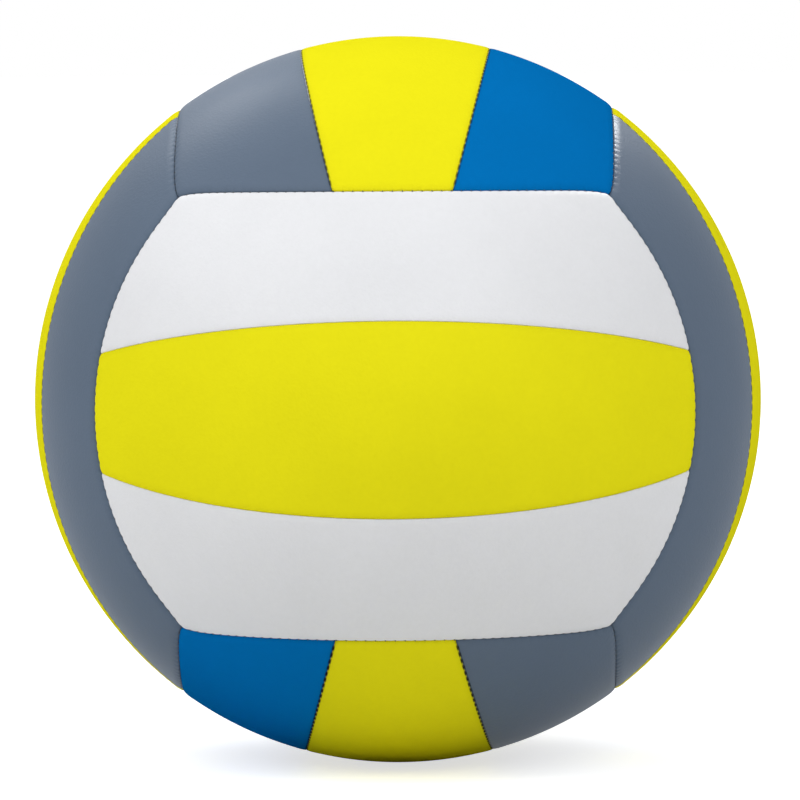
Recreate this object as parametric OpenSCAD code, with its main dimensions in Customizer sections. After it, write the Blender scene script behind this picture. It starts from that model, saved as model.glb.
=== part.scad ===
// Sewn volleyball with eighteen cover panels in six faces of three strips.
// The origin is the ball's centre, the front face looks along -Y, and +Z is up.
// The front and back faces' strips lie level, the top and bottom faces' strips run from front to
// back, and the left and right faces' strips stand upright, so every strip ends on a long side.

/* [Ball] */
// Diameter over the cover, a circumference of 67 cm
ball_d = 213; // [205:1:220]

/* [Seams] */
// Angle between a face's mid-plane and the seams on both sides of its middle strip
strip_angle = 15; // [12:0.5:17]
// Lean of the seam ring between two faces, which bows the faces' long sides outwards
edge_lean = 4.5; // [2:0.5:6]
// Gap between the turned-in edges of two panels
seam_gap = 0.3; // [0.2:0.05:0.5]
// Radius over which a panel's edge rolls down into a seam between two faces
edge_roll_r = 2.2; // [2.2:0.1:2.6]
// The same at the seams on both sides of a middle strip, always smaller than the first
strip_roll_r = 1.9; // [1.8:0.05:2]
// Diameter of the seam thread
thread_d = 0.7; // [0.4:0.1:0.7]
// Depth of the thread's centre below the cover
thread_depth = 1.1; // [1:0.05:1.2]

/* [Cover and foam] */
// Thickness of the cover leather
skin_t = 1; // [0.8:0.1:1.2]
// Thickness of the turned-in edges
hem_t = 1; // [0.8:0.1:1.5]
// Thickness of the foam, which is also the depth of the turned-in edges
foam_t = 2; // [1.6:0.1:2.5]

/* [Bladder and valve] */
// Wall of the bladder
bladder_t = 0.8; // [0.5:0.1:1.2]
// Radius of the valve's opening in the cover
cover_hole_r = 4.6; // [4.4:0.1:5.5]
// Radius of the boss that stands in that opening
boss_r = 4.2; // [3.8:0.1:4.2]
// Radius of the flange on the bladder
flange_r = 12; // [9:0.5:13]
// Thickness of the flange
flange_t = 0.9; // [0.7:0.1:0.9]
// Radius of the reinforcing patch under the flange
patch_r = 18; // [14:0.5:20]
// Thickness of the patch
patch_t = 0.4; // [0.3:0.05:0.4]
// Radius of the valve insert
insert_r = 2.4; // [2.2:0.1:2.8]
// Radius of the needle channel
needle_r = 1.25; // [1:0.05:1.5]
// Depth of the needle channel below its mouth
channel_depth = 9.5; // [8:0.5:10]
// Length of the valve barrel inside the bladder
barrel_l = 12; // [11:0.5:16]

/* [Colours] */
// Outer strips of the front and back faces
white = "#e6e7ea"; // ["#e6e7ea", "#ffffff", "#f2ecdc"]
// Middle strip of every face
yellow = "#dcd51e"; // ["#dcd51e", "#f2c81e", "#ee7a1c"]
// First colour of the other outer strips
grey = "#6d7c8d"; // ["#6d7c8d", "#3c434c", "#9aa3ad"]
// Second colour of the other outer strips
blue = "#0268aa"; // ["#0268aa", "#16417c", "#119a8c"]

/* [Hidden] */
$fn = 144;

ball_r = ball_d / 2;
inset = seam_gap / 2;
fit_gap = 0.1;
foam_top_r = ball_r - skin_t - fit_gap;
foam_bottom_r = ball_r - skin_t - foam_t;

// The seam ring of a face's long side passes through two corners of the cube in the ball.
// It's seen from the ball's centre under this angle to its own axis.
edge_half = acos((cos(edge_lean) - sin(edge_lean)) / sqrt(3));
// Where that ring ends on both sides, as an angle about its axis
edge_end = asin(1 / sqrt(3) / sin(edge_half));
// Where a strip seam ends on the neighbouring faces, as an angle about its axis
reach_x = sin(edge_lean);
reach_y = cos(edge_lean) * cos(strip_angle);
strip_end = acos(cos(edge_half) / norm([reach_x, reach_y])) - atan2(reach_x, reach_y);
// Threads stop short of a seam's ends by this angle
thread_stop = 0.8;
// Half the angle and the top angle of a strip's blank, before its sides are trimmed
blank_half = 57;
blank_top = 48;
blank_lap = 3;
// Radial room and sweep of a trimming ring, and the length that any ray needs to leave it
ring_out = 8;
ring_in = 12;
ring_sweep = 30;
ray = 3 * ball_r;
// The roll's circle crosses the cover and the seam wall a little, and isn't tangent to them
roll_bite = 0.05;

bladder_r = foam_bottom_r - 0.2;
patch_bottom_r = bladder_r + 0.05;
flange_bottom_r = patch_bottom_r + patch_t + 0.05;
flange_top_r = flange_bottom_r + flange_t;
boss_top = ball_r - 0.4;
insert_top = boss_top - 0.2;
barrel_r = 5.4;
barrel_tip_r = 4;
barrel_bottom = bladder_r - barrel_l;
cavity_r = insert_r + 0.05;
cavity_bottom = barrel_bottom + 2;
air_hole_r = 1;
insert_bottom = cavity_bottom + 0.1;
beak_r = 1.2;
beak_h = 1.6;
lead_in = 0.6;
hole_roll = 0.5;

// Sector of a flat ring between two radii and two angles
module ring_sector(r_out, r_in, from, to) {
    middle = (from + to) / 2;
    intersection() {
        difference() {
            circle(r_out);
            circle(r_in);
        }
        polygon([
            [0, 0],
            ray * [cos(from), sin(from)],
            ray * [cos(middle), sin(middle)],
            ray * [cos(to), sin(to)]
        ]);
    }
}

// Slice of a hollow ball between two heights above the front face's mid-plane, as angles.
// It turns about the X axis, which the front face's long seams share.
module slice(r_out, r_in, from, to) {
    rotate([-90 - to, 0, 0])
        rotate([0, 90, 0])
            rotate_extrude(angle = to - from)
                ring_sector(r_out, r_in, -blank_half, blank_half);
}

// Corner that is cut off where the cover rolls down into a seam
module roll_corner(depth, roll_r) {
    difference() {
        translate([ball_r - roll_r + roll_bite, depth - 1])
            square([roll_r + 1, roll_r + 1 - roll_bite]);
        translate([ball_r - roll_r + roll_bite, depth + roll_r - roll_bite])
            circle(roll_r);
    }
}

// Ring about +Z that trims a blank back to a seam. The seam is seen from the centre under the
// angle half to +Z. The panel lies towards +Z or away from it, and keeps the depth from the seam.
// Its edge is rolled over a radius, or cut square when that is 0.
module trim_ring(half, towards_axis, depth, roll_r) {
    rotate_extrude()
        rotate(90 - half)
            mirror([0, towards_axis ? 0 : 1]) {
                intersection() {
                    ring_sector(ball_r + ring_out, ball_r - ring_in, -ring_sweep, ring_sweep / 5);
                    translate([0, depth - ray])
                        square([ray, ray]);
                }
                if (roll_r > 0)
                    roll_corner(depth, roll_r);
            }
}

// Places what is made about +Z on the axis of a seam of the front face
module on_strip_seam(upper) {
    rotate([upper ? -strip_angle : 180 + strip_angle, 0, 0])
        children();
}
module on_edge_seam() {
    rotate([-edge_lean, 0, 0])
        children();
}
module on_end_seam(side) {
    rotate([90, 0, side * edge_lean])
        rotate(90)
            children();
}

// Blank trimmed at both ends. The trims follow one another, because their rings cross.
module trimmed_ends(r_out, r_in, from, to, depth, rolled) {
    roll = rolled ? edge_roll_r : 0;
    difference() {
        difference() {
            slice(r_out, r_in, from, to);
            on_end_seam(1)
                trim_ring(edge_half, true, depth, roll);
        }
        on_end_seam(-1)
            trim_ring(edge_half, true, depth, roll);
    }
}

// Upper strip of the front face, between two radii
module outer_strip(r_out, r_in, depth, rolled) {
    difference() {
        difference() {
            trimmed_ends(r_out, r_in, strip_angle - blank_lap, blank_top, depth, rolled);
            on_edge_seam()
                trim_ring(edge_half, false, depth, rolled ? edge_roll_r : 0);
        }
        on_strip_seam(true)
            trim_ring(90, true, depth, rolled ? strip_roll_r : 0);
    }
}

// Middle strip of the front face, between two radii
module middle_strip(r_out, r_in, depth, rolled) {
    lap = strip_angle + blank_lap;
    roll = rolled ? strip_roll_r : 0;
    difference() {
        difference() {
            trimmed_ends(r_out, r_in, -lap, lap, depth, rolled);
            on_strip_seam(true)
                trim_ring(90, false, depth, roll);
        }
        on_strip_seam(false)
            trim_ring(90, false, depth, roll);
    }
}

// Cover panels: a skin whose four edges roll over and turn in beside the foam
module outer_cover() {
    difference() {
        outer_strip(ball_r, foam_bottom_r, inset, true);
        outer_strip(ball_r - skin_t, foam_bottom_r - 1, inset + hem_t, false);
    }
}
module middle_cover() {
    difference() {
        middle_strip(ball_r, foam_bottom_r, inset, true);
        middle_strip(ball_r - skin_t, foam_bottom_r - 1, inset + hem_t, false);
    }
}

// Foam layers, which fill the covers from behind
module outer_foam() {
    outer_strip(foam_top_r, foam_bottom_r, inset + hem_t + fit_gap, false);
}
module middle_foam() {
    middle_strip(foam_top_r, foam_bottom_r, inset + hem_t + fit_gap, false);
}

// Places of the six faces, and the half turn from a face's one outer strip to the other
module back_face() {
    rotate([0, 0, 180])
        children();
}
module bottom_face() {
    rotate(a = 120, v = [1, 1, 1])
        children();
}
module top_face() {
    bottom_face()
        back_face()
            children();
}
module left_face() {
    rotate(a = 240, v = [1, 1, 1])
        children();
}
module right_face() {
    left_face()
        back_face()
            children();
}
module turned() {
    rotate([0, 180, 0])
        children();
}

// Places what is made about +Z on the valve's axis, through the middle of the back face
module on_valve() {
    rotate([-90, 0, 0])
        children();
}

module front_upper_panel() {
    color(white) outer_cover();
}
module front_middle_panel() {
    color(yellow) middle_cover();
}
module front_lower_panel() {
    color(white) turned() outer_cover();
}
module back_upper_panel() {
    color(white) back_face() outer_cover();
}
module back_middle_panel() {
    color(yellow)
        difference() {
            back_face() middle_cover();
            on_valve()
                valve_opening();
        }
}
module back_lower_panel() {
    color(white) back_face() turned() outer_cover();
}
module top_left_panel() {
    color(grey) top_face() turned() outer_cover();
}
module top_middle_panel() {
    color(yellow) top_face() middle_cover();
}
module top_right_panel() {
    color(blue) top_face() outer_cover();
}
module bottom_left_panel() {
    color(blue) bottom_face() turned() outer_cover();
}
module bottom_middle_panel() {
    color(yellow) bottom_face() middle_cover();
}
module bottom_right_panel() {
    color(grey) bottom_face() outer_cover();
}
module left_front_panel() {
    color(grey) left_face() turned() outer_cover();
}
module left_middle_panel() {
    color(yellow) left_face() middle_cover();
}
module left_back_panel() {
    color(blue) left_face() outer_cover();
}
module right_front_panel() {
    color(grey) right_face() turned() outer_cover();
}
module right_middle_panel() {
    color(yellow) right_face() middle_cover();
}
module right_back_panel() {
    color(blue) right_face() outer_cover();
}

module foam_colour() {
    color("#d9d4c4") children();
}
module front_upper_foam() {
    foam_colour() outer_foam();
}
module front_middle_foam() {
    foam_colour() middle_foam();
}
module front_lower_foam() {
    foam_colour() turned() outer_foam();
}
module back_upper_foam() {
    foam_colour() back_face() outer_foam();
}
module back_middle_foam() {
    foam_colour()
        difference() {
            back_face() middle_foam();
            on_valve()
                foam_opening();
        }
}
module back_lower_foam() {
    foam_colour() back_face() turned() outer_foam();
}
module top_left_foam() {
    foam_colour() top_face() turned() outer_foam();
}
module top_middle_foam() {
    foam_colour() top_face() middle_foam();
}
module top_right_foam() {
    foam_colour() top_face() outer_foam();
}
module bottom_left_foam() {
    foam_colour() bottom_face() turned() outer_foam();
}
module bottom_middle_foam() {
    foam_colour() bottom_face() middle_foam();
}
module bottom_right_foam() {
    foam_colour() bottom_face() outer_foam();
}
module left_front_foam() {
    foam_colour() left_face() turned() outer_foam();
}
module left_middle_foam() {
    foam_colour() left_face() middle_foam();
}
module left_back_foam() {
    foam_colour() left_face() outer_foam();
}
module right_front_foam() {
    foam_colour() right_face() turned() outer_foam();
}
module right_middle_foam() {
    foam_colour() right_face() middle_foam();
}
module right_back_foam() {
    foam_colour() right_face() outer_foam();
}

// Opening in the cover for the boss, with a small bevel at its rim
module valve_opening() {
    translate([0, 0, foam_bottom_r - 2])
        cylinder(h = skin_t + foam_t + 4, r = cover_hole_r);
    translate([0, 0, ball_r - hole_roll])
        cylinder(h = 2 * hole_roll, r1 = cover_hole_r, r2 = cover_hole_r + 2 * hole_roll);
}

// Opening in the foam for the boss, with a recess from below for the flange and its patch
module foam_opening() {
    translate([0, 0, foam_bottom_r - 2])
        cylinder(h = foam_t + 4, r = cover_hole_r + fit_gap);
    intersection() {
        sphere(flange_top_r + fit_gap);
        translate([0, 0, foam_bottom_r - 10])
            cylinder(h = 20, r = patch_r + 3 * fit_gap);
    }
}

// One piece of thread along a seam ring about +Z, on the front side
module seam_thread(half, end) {
    r = ball_r - thread_depth;
    translate([0, 0, r * cos(half)])
        rotate(-90 - end)
            rotate_extrude(angle = 2 * end)
                translate([r * sin(half), 0])
                    circle(d = thread_d, $fn = 24);
}

// Repeats a piece on both outer strips of all six faces
module on_all_outer_strips() {
    for (third = [0 : 2], half_turn = [0, 180], flip = [0, 180])
        rotate(a = 120 * third, v = [1, 1, 1])
            rotate([0, 0, half_turn])
                rotate([0, flip, 0])
                    children();
}

module strip_seam_threads() {
    color("#2c2f33")
        on_all_outer_strips()
            on_strip_seam(true)
                seam_thread(90, strip_end - thread_stop);
}
module edge_seam_threads() {
    color("#2c2f33")
        on_all_outer_strips()
            on_edge_seam()
                seam_thread(edge_half, edge_end - thread_stop);
}

module bladder() {
    color("#1d1e20")
        difference() {
            difference() {
                sphere(bladder_r);
                sphere(bladder_r - bladder_t);
            }
            on_valve()
                translate([0, 0, bladder_r - 10])
                    cylinder(h = 20, r = barrel_r + fit_gap);
        }
}

// Right half of a circle of the ball's section
module half_disc(r) {
    intersection() {
        circle(r);
        translate([0, -ray])
            square([ray, 2 * ray]);
    }
}

// Reinforcing ring on the bladder, round the valve
module valve_patch() {
    color("#33363a")
        on_valve()
            rotate_extrude()
                intersection() {
                    difference() {
                        half_disc(patch_bottom_r + patch_t);
                        half_disc(patch_bottom_r);
                    }
                    translate([barrel_r + fit_gap, 0])
                        square([patch_r - barrel_r - fit_gap, ray]);
                }
}

// Moulded rubber body: flange on the bladder, boss through the cover, barrel inside
module valve_housing() {
    color("#3b3f44")
        on_valve()
            rotate_extrude()
                difference() {
                    union() {
                        intersection() {
                            difference() {
                                half_disc(flange_top_r);
                                half_disc(flange_bottom_r);
                            }
                            square([flange_r, ray]);
                        }
                        polygon([
                            [0, barrel_bottom],
                            [barrel_tip_r, barrel_bottom],
                            [barrel_r, barrel_bottom + 3],
                            [barrel_r, flange_bottom_r + flange_t / 2],
                            [boss_r, flange_bottom_r + flange_t / 2],
                            [boss_r, boss_top],
                            [0, boss_top]
                        ]);
                    }
                    translate([0, cavity_bottom])
                        square([cavity_r, ball_r]);
                    square([air_hole_r, ball_r]);
                }
}

// Self-sealing core with the needle channel, a lead-in at its mouth and a closed beak
module valve_insert() {
    color("#6a7078")
        on_valve()
            rotate_extrude()
                polygon([
                    [0, insert_bottom],
                    [beak_r, insert_bottom],
                    [insert_r, insert_bottom + beak_h],
                    [insert_r, insert_top],
                    [needle_r + lead_in, insert_top],
                    [needle_r, insert_top - lead_in],
                    [needle_r, insert_top - channel_depth],
                    [0, insert_top - channel_depth - needle_r]
                ]);
}

front_upper_panel();
front_middle_panel();
front_lower_panel();
back_upper_panel();
back_middle_panel();
back_lower_panel();
top_left_panel();
top_middle_panel();
top_right_panel();
bottom_left_panel();
bottom_middle_panel();
bottom_right_panel();
left_front_panel();
left_middle_panel();
left_back_panel();
right_front_panel();
right_middle_panel();
right_back_panel();
front_upper_foam();
front_middle_foam();
front_lower_foam();
back_upper_foam();
back_middle_foam();
back_lower_foam();
top_left_foam();
top_middle_foam();
top_right_foam();
bottom_left_foam();
bottom_middle_foam();
bottom_right_foam();
left_front_foam();
left_middle_foam();
left_back_foam();
right_front_foam();
right_middle_foam();
right_back_foam();
strip_seam_threads();
edge_seam_threads();
bladder();
valve_patch();
valve_housing();
valve_insert();
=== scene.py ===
"""Looks of a sewn volleyball: eighteen crowned cover panels, their stitched seams and the valve."""

import logging
import math
from dataclasses import dataclass, field
from enum import Enum

import bpy
import numpy as np
from bpy.types import Material, Mesh, Node, NodeSocket, NodeTree, Object
from mathutils import Matrix, Vector


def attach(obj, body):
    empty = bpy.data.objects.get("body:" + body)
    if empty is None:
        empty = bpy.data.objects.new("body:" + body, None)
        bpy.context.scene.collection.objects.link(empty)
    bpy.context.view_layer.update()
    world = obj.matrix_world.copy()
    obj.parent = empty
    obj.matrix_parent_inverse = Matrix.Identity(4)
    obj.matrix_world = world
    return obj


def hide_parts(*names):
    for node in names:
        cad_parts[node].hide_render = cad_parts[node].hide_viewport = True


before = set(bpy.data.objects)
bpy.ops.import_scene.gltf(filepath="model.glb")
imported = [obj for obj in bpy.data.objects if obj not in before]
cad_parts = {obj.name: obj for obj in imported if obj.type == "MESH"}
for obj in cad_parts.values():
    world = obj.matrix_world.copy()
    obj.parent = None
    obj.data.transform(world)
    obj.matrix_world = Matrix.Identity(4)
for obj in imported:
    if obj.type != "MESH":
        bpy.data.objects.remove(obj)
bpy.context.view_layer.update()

LOG = logging.getLogger("volleyball")
BODY = "root"
MM = 0.001


def srgb(code: str) -> tuple[float, float, float, float]:
    """Turns a written colour into Blender's linear colour.

    Args:
        code: Colour as #rrggbb.

    Returns:
        Linear red, green, blue and an alpha of 1.
    """
    parts = [int(code[i:i + 2], 16) / 255 for i in (1, 3, 5)]
    linear = [c / 12.92 if c <= 0.04045 else ((c + 0.055) / 1.055) ** 2.4 for c in parts]
    return (linear[0], linear[1], linear[2], 1.0)


def turn(axis: tuple[float, float, float], degrees: float) -> np.ndarray:
    """Gives the matrix of a turn.

    Args:
        axis: Axis through the origin.
        degrees: Angle of the turn.

    Returns:
        3x3 matrix.
    """
    return np.array(Matrix.Rotation(math.radians(degrees), 3, Vector(axis)))


class Graph:
    """Adds and links the nodes of one tree, with short calls for the common ones."""

    def __init__(self, tree: NodeTree) -> None:
        """Keeps the tree to build in."""
        self.tree = tree

    def add(self, kind: str, **settings: object) -> Node:
        """Adds a node.

        Args:
            kind: Blender's name of the node's type.
            **settings: Properties to set on the node.

        Returns:
            The new node.
        """
        node = self.tree.nodes.new(kind)
        for name, value in settings.items():
            setattr(node, name, value)
        return node

    def put(self, value: object, socket: NodeSocket) -> None:
        """Feeds an input with another socket's output or with a plain value.

        Args:
            value: Output socket, number or tuple.
            socket: Input to feed.
        """
        if isinstance(value, NodeSocket):
            self.tree.links.new(value, socket)
        else:
            socket.default_value = value

    def math(self, operation: str, *values: object) -> NodeSocket:
        """Adds a Math node.

        Args:
            operation: Blender's name of the operation.
            *values: Its inputs, as sockets or numbers.

        Returns:
            The output socket.
        """
        node = self.add("ShaderNodeMath", operation=operation)
        for value, socket in zip(values, node.inputs):
            self.put(value, socket)
        return node.outputs[0]

    def vector(self, operation: str, *values: object) -> NodeSocket:
        """Adds a Vector Math node.

        Args:
            operation: Blender's name of the operation.
            *values: Its inputs; a number for SCALE goes to the Scale input.

        Returns:
            The vector or value output.
        """
        node = self.add("ShaderNodeVectorMath", operation=operation)
        if operation == "SCALE":
            self.put(values[0], node.inputs[0])
            self.put(values[1], node.inputs["Scale"])
        else:
            for value, socket in zip(values, node.inputs):
                self.put(value, socket)
        return node.outputs["Value"] if operation in ("LENGTH", "DOT_PRODUCT") else node.outputs[0]

    def span(self, value: NodeSocket, source: tuple[object, object],
             target: tuple[float, float], **settings: object) -> NodeSocket:
        """Adds a Map Range node.

        Args:
            value: Value to map.
            source: Values at the two ends of the range, as sockets or numbers.
            target: What they become.
            **settings: Properties to set on the node.

        Returns:
            The mapped value's socket.
        """
        node = self.add("ShaderNodeMapRange", **settings)
        self.put(value, node.inputs["Value"])
        for label, end in zip(("From Min", "From Max", "To Min", "To Max"), source + target):
            self.put(end, node.inputs[label])
        return node.outputs["Result"]

    def blend(self, share: NodeSocket, first: object, second: object) -> NodeSocket:
        """Mixes two colours.

        Args:
            share: Share of the second colour.
            first: First colour, as a socket or a linear colour.
            second: Second colour.

        Returns:
            The mixed colour's socket.
        """
        node = self.add("ShaderNodeMix", data_type="RGBA")
        self.put(share, node.inputs["Factor"])
        self.put(first, node.inputs["A"])
        self.put(second, node.inputs["B"])
        return node.outputs["Result"]

    def noise(self, place: NodeSocket, scale: object, detail: float,
              **settings: object) -> Node:
        """Adds a Noise Texture node.

        Args:
            place: Point that the noise is read at.
            scale: Scale of the noise, as a socket or a number.
            detail: Its detail.
            **settings: Properties to set on the node.

        Returns:
            The node, whose first output is the noise.
        """
        node = self.add("ShaderNodeTexNoise", **settings)
        self.put(place, node.inputs["Vector"])
        self.put(scale, node.inputs["Scale"])
        node.inputs["Detail"].default_value = detail
        return node

    def fade(self, distance: NodeSocket, width: object) -> NodeSocket:
        """Fades from 1 at no distance towards 0, to about a third over the width."""
        return self.math("EXPONENT", self.math("MULTIPLY", self.math("DIVIDE", distance, width), -1.0))

    def mean(self, first: object, second: object, share: object) -> NodeSocket:
        """Weighs two values, by the share of the second one."""
        return self.math("MULTIPLY_ADD", share, self.math("SUBTRACT", second, first), first)

    def bump(self, height: NodeSocket, strength: float, reach: float) -> NodeSocket:
        """Adds a Bump node.

        Args:
            height: Height of the relief.
            strength: Strength of the bump.
            reach: Depth that a height of 1 stands for, in metres.

        Returns:
            The normal's socket.
        """
        node = self.add("ShaderNodeBump")
        node.inputs["Strength"].default_value = strength
        node.inputs["Distance"].default_value = reach
        self.put(height, node.inputs["Height"])
        return node.outputs["Normal"]


def new_group(name: str, kind: str, inputs: dict[str, tuple[str, object]],
              outputs: dict[str, str]) -> tuple[Graph, Node, Node]:
    """Makes a node group with named sockets.

    Args:
        name: Name of the group.
        kind: ShaderNodeTree or GeometryNodeTree.
        inputs: Socket type and default value of each input, None for no default.
        outputs: Socket type of each output.

    Returns:
        The graph, its input node and its output node.
    """
    tree = bpy.data.node_groups.new(name, kind)
    for label, (socket_type, default) in inputs.items():
        socket = tree.interface.new_socket(label, in_out="INPUT", socket_type=socket_type)
        if default is not None:
            socket.default_value = default
    for label, socket_type in outputs.items():
        tree.interface.new_socket(label, in_out="OUTPUT", socket_type=socket_type)
    graph = Graph(tree)
    return graph, graph.add("NodeGroupInput"), graph.add("NodeGroupOutput")


def identifiers(tree: NodeTree) -> dict[str, str]:
    """Lists a geometry tree's inputs.

    Args:
        tree: Geometry node tree.

    Returns:
        Identifier of each named input.
    """
    return {item.name: item.identifier for item in tree.interface.items_tree
            if item.item_type == "SOCKET" and item.in_out == "INPUT"}


def run_tree(piece: Object, tree: NodeTree, values: dict[str, object]) -> None:
    """Runs a geometry tree on a piece and keeps the result as a plain mesh.

    Args:
        piece: Mesh object that the tree works on.
        tree: Geometry node tree.
        values: Value of each named input.
    """
    modifier = piece.modifiers.new(tree.name, "NODES")
    modifier.node_group = tree
    keys = identifiers(tree)
    for name, value in values.items():
        modifier[keys[name]] = value
    keep_result(piece)


def keep_result(piece: Object) -> None:
    """Turns a piece with live modifiers into a plain mesh.

    Args:
        piece: Mesh object with modifiers.
    """
    bpy.context.view_layer.update()
    depsgraph = bpy.context.evaluated_depsgraph_get()
    result = bpy.data.meshes.new_from_object(piece.evaluated_get(depsgraph))
    piece.modifiers.clear()
    piece.data = result
    result.name = piece.name


def new_piece(name: str, vertices: np.ndarray, faces: list[tuple[int, ...]],
              edges: list[tuple[int, int]] | None = None) -> Object:
    """Makes a mesh object at the origin.

    Args:
        name: Name of the piece.
        vertices: Points in metres.
        faces: Corner indices of each face.
        edges: Loose edges, for a path.

    Returns:
        The object, linked to the scene.
    """
    mesh = bpy.data.meshes.new(name)
    mesh.from_pydata(vertices.tolist(), edges or [], faces)
    mesh.validate()
    mesh.shade_smooth()
    piece = bpy.data.objects.new(name, mesh)
    bpy.context.scene.collection.objects.link(piece)
    return piece


def add_value(mesh: Mesh, name: str, values: np.ndarray) -> None:
    """Stores a number on every point of a mesh.

    Args:
        mesh: Mesh to store it on.
        name: Name of the attribute.
        values: One number for each point.
    """
    attribute = mesh.attributes.new(name, "FLOAT", "POINT")
    attribute.data.foreach_set("value", values.astype(np.float32))


@dataclass(frozen=True)
class Sizes:
    """Sizes of the ball and its seams, in metres and radians."""

    radius: float = 106.5 * MM
    strip_angle: float = math.radians(15)
    strip_end: float = math.radians(52.05)
    edge_lean: float = math.radians(4.5)
    bulge: float = 0.0145
    bulge_power: float = 15.0
    gap: float = 0.03 * MM
    hem: float = 1.0 * MM
    skin: float = 1.0 * MM
    hem_depth: float = 3.0 * MM
    corner: float = 1.6 * MM
    pitch: float = 2.8 * MM

    @property
    def edge_half(self) -> float:
        """Angle under which the ring between two faces is seen from the centre."""
        return math.acos((math.cos(self.edge_lean) - math.sin(self.edge_lean)) / math.sqrt(3))

    @property
    def edge_end(self) -> float:
        """Angle about its axis at which that ring's seam ends."""
        return math.asin(1 / math.sqrt(3) / math.sin(self.edge_half))


SIZES = Sizes()


@dataclass(frozen=True)
class Seam:
    """Seam on the ball: a ring about an axis, which may bulge towards it before its ends."""

    axis: tuple[float, float, float]
    middle: tuple[float, float, float]
    half: float
    end: float
    bulge: float = 0.0

    @property
    def across(self) -> np.ndarray:
        """Third direction of the ring's own frame."""
        return np.cross(self.axis, self.middle)

    def ring_angle(self, along: np.ndarray) -> np.ndarray:
        """Gives the seam's angle from its axis at angles about the axis, which are 0 at its middle."""
        share = np.minimum(np.abs(along) / self.end, 1.0)
        return self.half - self.bulge * (share ** 2 - share ** SIZES.bulge_power)

    def place(self, along: np.ndarray) -> np.ndarray:
        """Gives points on the seam.

        Args:
            along: Angles about the axis.

        Returns:
            Unit vectors, one row for each angle.
        """
        along = np.atleast_1d(along)
        angle = self.ring_angle(along)
        flat = np.outer(np.cos(along), self.middle) + np.outer(np.sin(along), self.across)
        return np.cos(angle)[:, None] * np.array(self.axis) + np.sin(angle)[:, None] * flat

    def measure(self, points: np.ndarray) -> tuple[np.ndarray, np.ndarray]:
        """Measures points against the seam.

        Args:
            points: Unit vectors, one in each row.

        Returns:
            Distance from the seam, positive away from its axis, and length along it from its middle.
        """
        along = np.arctan2(points @ self.across, points @ np.array(self.middle))
        off = np.arccos(np.clip(points @ np.array(self.axis), -1, 1)) - self.ring_angle(along)
        step = 1e-4
        slope = (self.ring_angle(along + step) - self.ring_angle(along - step)) / (2 * step)
        lean = np.cos(np.arctan(slope / math.sin(self.half)))
        return off * lean * SIZES.radius, along * math.sin(self.half) * SIZES.radius

    def away(self, points: np.ndarray) -> np.ndarray:
        """Gives the direction on the ball that leads away from the axis.

        Args:
            points: Unit vectors, one in each row.

        Returns:
            Unit vectors along the surface.
        """
        axis = np.array(self.axis)
        flat = points * (points @ axis)[:, None] - axis
        return flat / np.linalg.norm(flat, axis=1)[:, None]

    def along_of(self, point: np.ndarray) -> float:
        """Angle about the axis at which a point lies."""
        return float(np.arctan2(point @ self.across, point @ np.array(self.middle)))


Borders = tuple[tuple[Seam, int], ...]


def smooth_min(first: np.ndarray, second: np.ndarray) -> np.ndarray:
    """Takes the smaller of two distances and rounds the place where they cross.

    Args:
        first: Distances from one seam.
        second: Distances from another.

    Returns:
        Rounded smaller distances.
    """
    overlap = np.maximum(SIZES.corner - np.abs(first - second), 0) / SIZES.corner
    return np.minimum(first, second) - overlap ** 3 * SIZES.corner / 6


def strip_seam(upper: bool) -> Seam:
    """Makes the seam above or below the front face's middle strip.

    Args:
        upper: True for the seam above it.

    Returns:
        The seam, a great circle.
    """
    sign = 1 if upper else -1
    sine, cosine = math.sin(SIZES.strip_angle), math.cos(SIZES.strip_angle)
    return Seam((0, sine, sign * cosine), (0, -cosine, sign * sine), math.pi / 2, SIZES.strip_end)


def edge_seam() -> Seam:
    """Makes the seam above the front face's upper strip."""
    sine, cosine = math.sin(SIZES.edge_lean), math.cos(SIZES.edge_lean)
    return Seam((0, sine, cosine), (0, -cosine, sine), SIZES.edge_half, SIZES.edge_end, SIZES.bulge)


def end_seam(side: int) -> Seam:
    """Makes the seam at the front face's left or right end.

    Args:
        side: -1 for the left end and 1 for the right one.

    Returns:
        The seam.
    """
    sine, cosine = math.sin(SIZES.edge_lean), math.cos(SIZES.edge_lean)
    return Seam((-side * sine, -cosine, 0), (side * cosine, -sine, 0), SIZES.edge_half,
                SIZES.edge_end, SIZES.bulge)


class Leather(Enum):
    """Colours of the cover leather."""

    WHITE = "white"
    YELLOW = "yellow"
    GREY = "grey"
    BLUE = "blue"


class Strip(Enum):
    """Which strip of a face a panel is."""

    MIDDLE = "middle"
    OUTER = "outer"
    OUTER_TURNED = "outer_turned"


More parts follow.
